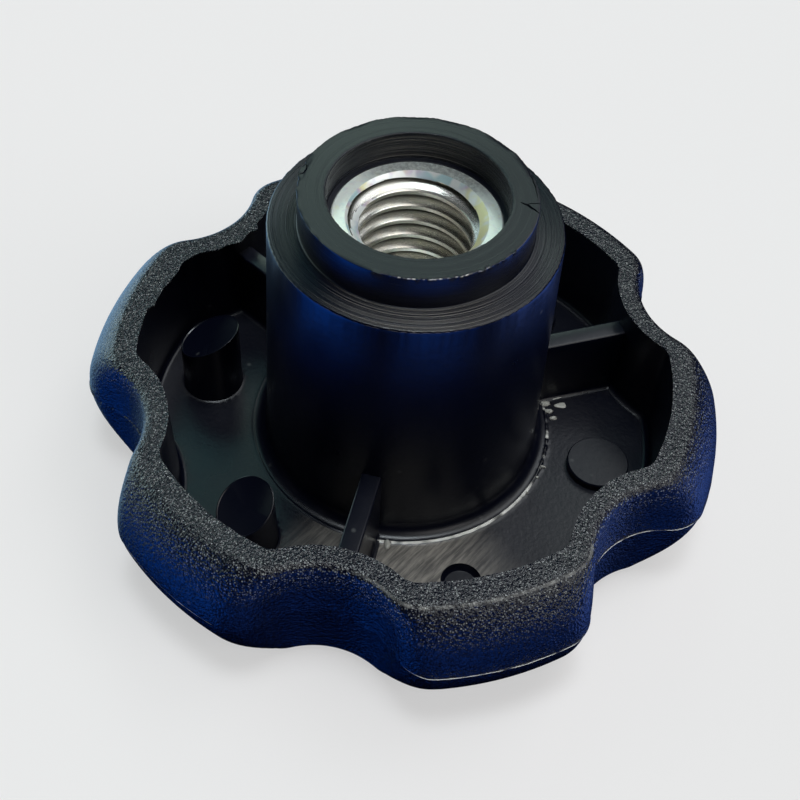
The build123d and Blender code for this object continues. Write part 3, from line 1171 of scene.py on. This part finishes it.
# cracks in the ring's top: (radius, angle) stations, width and depth
CRACKS = (
    (((8.6, 8.6), (8.95, 7.4), (9.3, 6.6), (9.6, 4.9), (9.9, 3.9), (10.3, 2.0)), 0.26, 0.30),
    (((9.2, 7.2), (9.5, 8.4), (9.9, 8.6), (10.5, 9.4)), 0.14, 0.20),
    (tuple((10.08 + 0.04 * math.sin(angle), angle) for angle in range(12, 38, 3)), 0.12, 0.20),
    (((10.5, 174.0), (10.1, 176.0), (9.95, 179.0), (10.1, 182.0), (10.5, 184.0)), 0.20, 0.20),
)


def make_moulding():
    """The knob body as one closed mesh, its material chosen by the row each face starts at."""
    outline = moulding_outline()
    mesh = grown("moulding", outline.mesh("moulding_outline"), lathed, Columns=COLUMNS)
    worn(mesh, outline.rows)
    slot_of_row = np.zeros(len(outline.stations), int)
    mesh.materials.clear()
    for slot, (name, row_names) in enumerate(SLOTS):
        mesh.materials.append(materials[name])
        for row_name in row_names:
            slot_of_row[outline.rows[row_name]] = slot
    slot_of = slot_of_row[row_of_vertices(mesh)]
    mesh.polygons.foreach_set("material_index", [int(slot_of[face.vertices[0]]) for face in mesh.polygons])
    face_outwards(mesh)
    return mesh


def make_ribs():
    """Three ribs from the hub to the skirt, rounded along the top and flared at the foot."""
    half, lean = RIB_T / 2, math.tan(RIB_DRAFT)
    turns = np.linspace(0, math.pi / 2, 5)
    heights = np.linspace(WEB + RIB_FLARE, RIB_TOP_Z - RIB_EDGE, 8)
    side = [(half + (RIB_TOP_Z - z) * lean, z) for z in heights]
    toe, heel = side[0][0] + RIB_FLARE, WEB + RIB_FLARE
    flare = [(toe - RIB_FLARE * math.sin(t), heel - RIB_FLARE * math.cos(t)) for t in turns[:-1]]
    flat, brow = half - RIB_EDGE, RIB_TOP_Z - RIB_EDGE
    top = [(flat + RIB_EDGE * math.cos(t), brow + RIB_EDGE * math.sin(t)) for t in turns[1:]]
    right = [(flare[0][0], WEB - SUNK)] + flare + side + top
    profile = right + [(-y, z) for y, z in reversed(right)]
    stations = np.linspace(HUB_TOP_R - 0.6, KNOB_R - SCALLOP_DEPTH - WALL + 0.9, 24)
    solid = swept_solid("rib", profile, stations)
    return grown("ribs", solid, copied, Count=RIBS, Finish=materials["moulding_plain"])


def make_post(angle, radial, aside, top_z, top_r):
    """A drafted post whose top falls away towards the skirt, with a fine burr round the high side."""
    profile = (
        (0, WEB - SUNK),
        (POST_R + 0.2, WEB - SUNK),
        (POST_R + 0.2, WEB),
        (POST_R + 0.05, WEB + 0.06),
        (POST_R, WEB + 0.22),
        (top_r + 0.01, top_z - 0.14),
        (top_r, top_z),
        (top_r - 0.07, top_z + 0.04),
        (top_r - 0.16, top_z - 0.03),
        (0, top_z - 0.03),
    )
    outward, centre = Vector(polar(1, angle)), in_lobe(angle, radial, aside)
    mesh = turned_solid("post", profile, centre)
    for vertex in mesh.vertices:
        if vertex.co.z > (WEB + 0.5) * MM:
            vertex.co.z -= POST_SLOPE * (vertex.co - Vector(centre) * MM).dot(outward)
    return mesh


def in_lobe(angle, radial, aside):
    """The point at a radius and an angle, moved aside."""
    return polar(radial, angle) + polar(aside, angle + 90)


def make_body():
    """The moulded body: the lathed skin with ribs, pads, posts and lumps, less its dimple and cracks."""
    added = [make_ribs()]
    added += [turned_solid("pad", PAD, in_lobe(angle, MARK_RADIAL, aside)) for angle, aside in PADS]
    added += [make_post(*post) for post in POSTS]
    added += [lump(*place, seed) for seed, place in enumerate(LUMPS)]
    mesh = combined(make_moulding(), added, "UNION")
    cut = [turned_solid("dimple", DIMPLE_CUT, polar(*DIMPLE_AT))]
    cut += [groove("crack", *crack, RING_TOP_Z) for crack in CRACKS]
    mesh = combined(mesh, cut, "DIFFERENCE")
    face_outwards(mesh)
    return in_scene("moulded_body", mesh)


def make_bush():
    """The threaded bush: its lathed outside and drill cone, joined to the bore's threaded wall."""
    work = bmesh.new()
    for name, outline in zip(("shell", "cone"), bush_outlines()):
        work.from_mesh(grown(name, outline.mesh(name), lathed, Columns=BUSH_COLUMNS))
    whole = bpy.data.meshes.new("bush_skin")
    work.to_mesh(whole)
    work.free()
    mesh = grown("bush", whole, bored, Finish=materials["zinc_thread"])
    mesh.materials.clear()
    for name in ("zinc_thread", "zinc_face", "zinc_cone"):
        mesh.materials.append(materials[name])
    centres = np.empty(len(mesh.polygons) * 3)
    mesh.polygons.foreach_get("center", centres)
    centres = centres.reshape(-1, 3) / MM
    radius, height = np.hypot(centres[:, 0], centres[:, 1]), centres[:, 2]
    outer = (radius > COUNTERSINK_R) | (height < THREAD_END_Z)
    on_cone = np.abs(radius - (COUNTERSINK_R - (FACE_Z - height))) < 0.03
    on_cone &= ~outer & (radius > MINOR_R + 0.02)
    mesh.polygons.foreach_set("material_index", np.where(outer, 1, np.where(on_cone, 2, 0)))
    face_outwards(mesh)
    return in_scene("threaded_bush", mesh)


def smooth(thing, degrees):
    """Shades a piece smooth except along edges sharper than the given angle."""
    mesh = thing.data
    mesh.polygons.foreach_set("use_smooth", [True] * len(mesh.polygons))
    work = bmesh.new()
    work.from_mesh(mesh)
    for edge in work.edges:
        edge.smooth = len(edge.link_faces) == 2 and edge.calc_face_angle(0.0) < math.radians(degrees)
    work.to_mesh(mesh)
    work.free()


body, bush = make_body(), make_bush()
smooth(body, SHARP_ANGLE)
smooth(bush, SHARP_ANGLE)
for piece, node, slot in ((body, "knob_body", "body"), (bush, "threaded_insert", "bush")):
    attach(piece, "root")
    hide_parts(node)


# === stage, light and camera ===============================================
FLOOR_SIZE = 4.0
PAPER, PAPER_GLOW = (0.36, 0.342, 0.338, 1.0), 0.51
BACKDROP = (0.82, 0.82, 0.82, 1.0)
# soft patches of light round the knob: azimuth, elevation and half width in degrees, and colour
PATCHES = (
    (90, 88, 12, (16.0, 17.5, 18.5)),
    (30, 66, 24, (1.5, 1.5, 1.45)),
    (60, 48, 22, (2.0, 2.1, 2.2)),
    (104, 36, 13, (1.8, 2.4, 2.1)),
    (120, 54, 13, (0.3, 0.7, 0.7)),
    (-40, 48, 22, (1.6, 1.55, 1.5)),
    (-10, 30, 24, (2.5, 2.6, 2.6)),
    (150, 8, 28, (1.9, 2.6, 2.7)),
    (182, 8, 28, (1.0, 1.3, 1.2)),
    (-60, -25, 34, (0.05, 0.27, 1.55)),
    (20, -25, 34, (0.20, 0.42, 1.6)),
    (140, -25, 34, (0.40, 0.75, 1.2)),
    (220, -25, 34, (0.02, 0.35, 2.2)),
)
LENS, SENSOR, CLIP_FROM = 57.58, 36.0, 0.005
# where the camera stands and what it looks at, in millimetres, and how far it is rolled
CAMERA_AT, CAMERA_AIM, CAMERA_ROLL = Vector((13.89, -81.78, 106.47)), Vector((2.99, -18.66, 29.68)), 0.0787

corners = [(x * FLOOR_SIZE, y * FLOOR_SIZE, 0.0) for x, y in ((-1, -1), (1, -1), (1, 1), (-1, 1))]
floor_mesh = bpy.data.meshes.new("floor")
floor_mesh.from_pydata(corners, [], [(0, 1, 2, 3)])
paper, paper_shader = principled("paper", PAPER, 1.0)
paper_shader.inputs["Specular IOR Level"].default_value = 0.0
paper_shader.inputs["Emission Color"].default_value = (1.0, 1.0, 1.0, 1.0)
paper_shader.inputs["Emission Strength"].default_value = PAPER_GLOW
floor_mesh.materials.append(paper)
floor = in_scene("floor", floor_mesh)
floor.visible_glossy = False

world = bpy.data.worlds.new("studio")
bpy.context.scene.world = world
world.use_nodes = True
sky = world.node_tree
direction = add(sky, "ShaderNodeTexCoord").outputs["Generated"]


def sky_vector(operation, inputs):
    """A vector node's result in the sky's tree."""
    return add(sky, "ShaderNodeVectorMath", inputs, operation=operation).outputs


def glow(azimuth, elevation, half_width, colour):
    """A soft patch of light round one direction of the sky."""
    rise = math.radians(elevation)
    aim = polar(math.cos(rise), azimuth, math.sin(rise))
    towards = Term(sky, sky_vector("DOT_PRODUCT", {0: direction, 1: aim})["Value"])
    level = towards.eased(math.cos(math.radians(half_width)), 1.0)
    return sky_vector("SCALE", {0: colour, "Scale": level})[0]


total, *others = (glow(*patch) for patch in PATCHES)
for other in others:
    total = sky_vector("ADD", {0: total, 1: other})[0]
# past the floor's edge the camera sees a plain pale backdrop
seen = add(sky, "ShaderNodeLightPath").outputs["Is Camera Ray"]
sky.links.new(mixed(sky, seen, total, BACKDROP).socket, sky.nodes["Background"].inputs["Color"])

camera = in_scene("camera", bpy.data.cameras.new("camera"))
camera.data.lens, camera.data.sensor_width, camera.data.clip_start = LENS, SENSOR, CLIP_FROM
back = (CAMERA_AT - CAMERA_AIM).normalized()
right = (-back).cross(Vector((0, 0, 1))).normalized()
up = right.cross(-back)
across = right * math.cos(CAMERA_ROLL) + up * math.sin(CAMERA_ROLL)
upward = up * math.cos(CAMERA_ROLL) - right * math.sin(CAMERA_ROLL)
turned_to = Matrix((across, upward, back)).transposed().to_4x4()
camera.matrix_world = Matrix.Translation(CAMERA_AT * MM) @ turned_to
bpy.context.scene.camera = camera
bpy.context.scene.view_settings.view_transform = "Standard"
